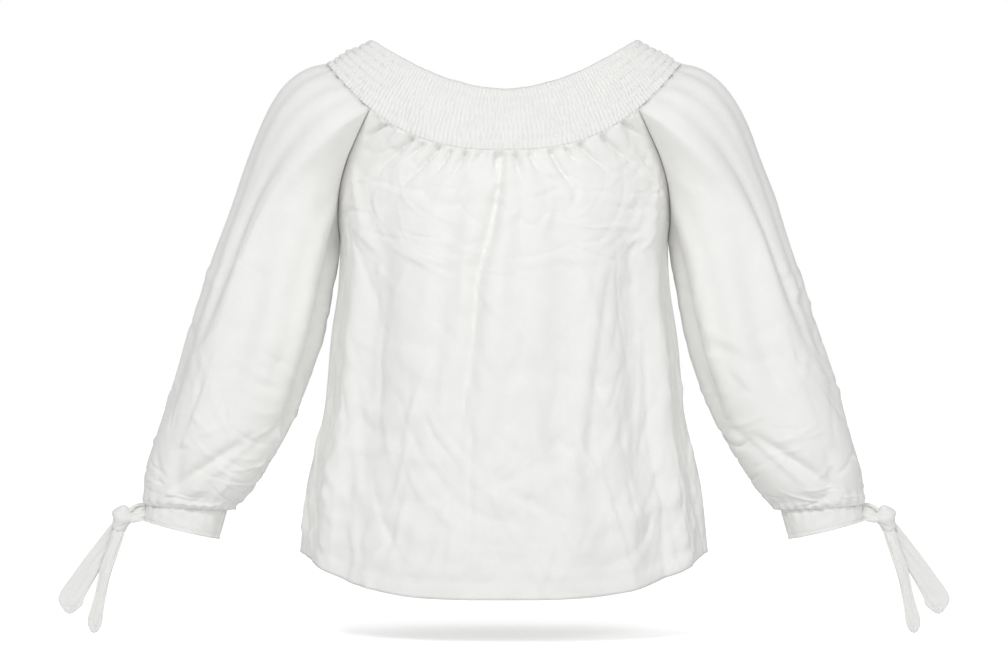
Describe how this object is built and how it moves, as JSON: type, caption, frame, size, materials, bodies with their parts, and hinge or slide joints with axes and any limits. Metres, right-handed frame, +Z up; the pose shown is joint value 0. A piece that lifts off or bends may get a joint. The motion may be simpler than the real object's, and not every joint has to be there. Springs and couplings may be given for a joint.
{
  "type": "off-the-shoulder smocked peasant blouse",
  "caption": "hollow off-the-shoulder blouse with a wide smocked elastic yoke, full raglan sleeves, narrow cuffs tied at the side and a curved hem",
  "frame": {"origin": "on the body's middle axis at the height where the smocked yoke meets the sleeve tops, where the wearer's shoulders hold the elastic yoke", "axes": "+Z up, the front faces -Y, +X to the wearer's left"},
  "size_m": [0.9318, 0.2506, 0.6203],
  "materials": {
    "cloth": "white plain-weave viscose or cotton, soft, matt",
    "smocked_cloth": "the same white cloth shirred in fine upright pleats on rows of elastic thread"
  },
  "bodies": {
    "root": {"smocked_yoke": "smocked_cloth", "front_panel": "cloth", "back_panel": "cloth", "sleeve_left": "cloth", "cuff_left": "cloth", "tie_strap_front_left": "cloth", "tie_strap_back_left": "cloth", "tie_tail_wide_left": "cloth", "tie_tail_narrow_left": "cloth", "tie_knot_left": "cloth", "sleeve_right": "cloth", "cuff_right": "cloth", "tie_strap_front_right": "cloth", "tie_strap_back_right": "cloth", "tie_tail_wide_right": "cloth", "tie_tail_narrow_right": "cloth", "tie_knot_right": "cloth"}
  },
  "joints": []
}
